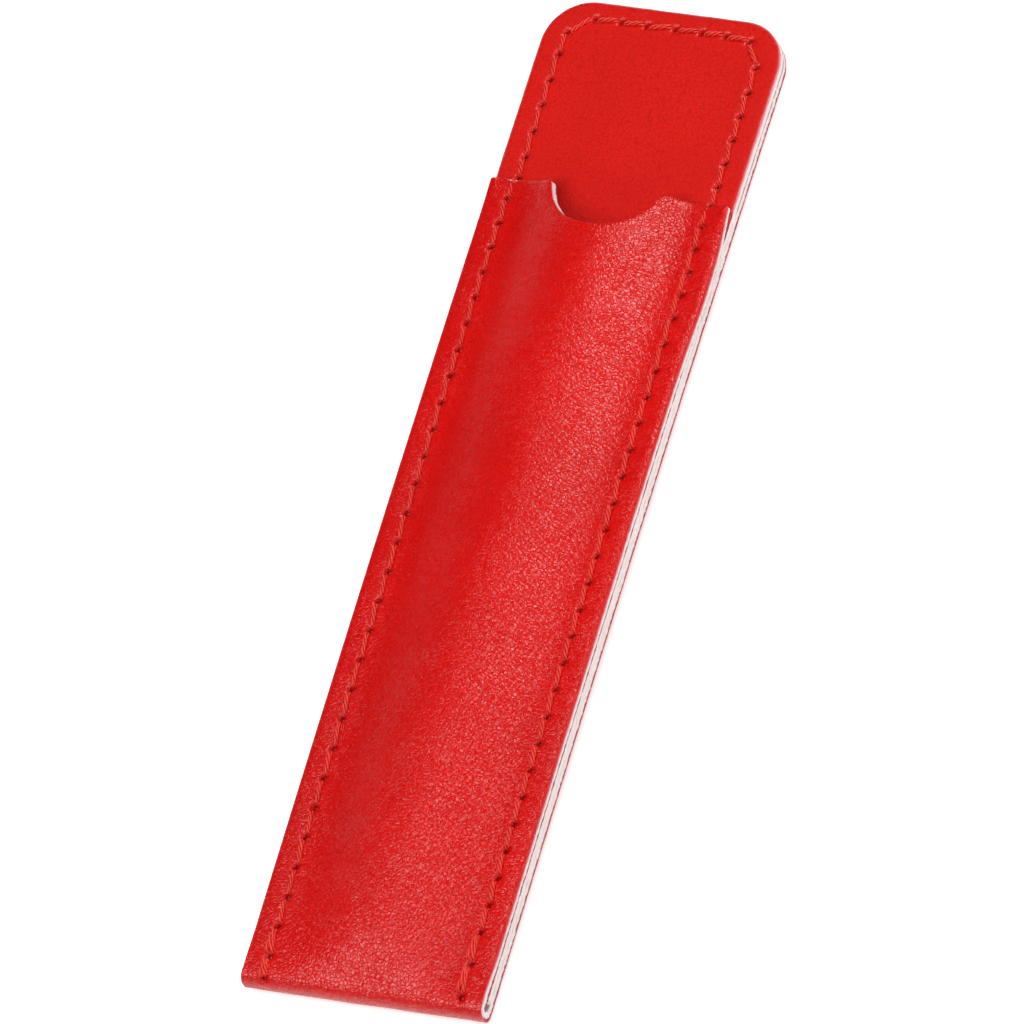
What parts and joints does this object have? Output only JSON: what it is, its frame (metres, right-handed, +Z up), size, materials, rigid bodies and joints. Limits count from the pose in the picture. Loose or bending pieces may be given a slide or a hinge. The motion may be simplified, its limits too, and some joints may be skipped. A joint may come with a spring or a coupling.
{
  "type": "single pen sleeve",
  "caption": "Slim flat leather sleeve that holds one pen: a pocket with a thumb notch at its mouth, a tall rounded tongue behind it and a stitched seam round three sides.",
  "frame": {"origin": "under the middle of the sleeve's length and width, on the surface that it lies on", "axes": "+X across the sleeve to the right as the pocket faces the viewer, +Y along it from the fold to the top of the tongue, +Z up out of the pocket's front"},
  "size_m": [0.037, 0.155, 0.0087],
  "materials": {
    "red_coat": "red coated leather with a fine pebble grain and a soft sheen",
    "lining_coat": "the same red leather, smoother and more matt",
    "pale_core": "pale pinkish white cut edge, matt",
    "glue": "dried contact adhesive, grey pink",
    "thread": "twisted red polyester sewing thread with a faint sheen"
  },
  "bodies": {
    "root": {"outer_strip_core": "pale_core", "outer_strip_coat": "red_coat", "lining_core": "pale_core", "lining_coat": "lining_coat", "glue_film": "glue", "needle_thread": "thread", "bobbin_thread": "thread"}
  },
  "joints": []
}
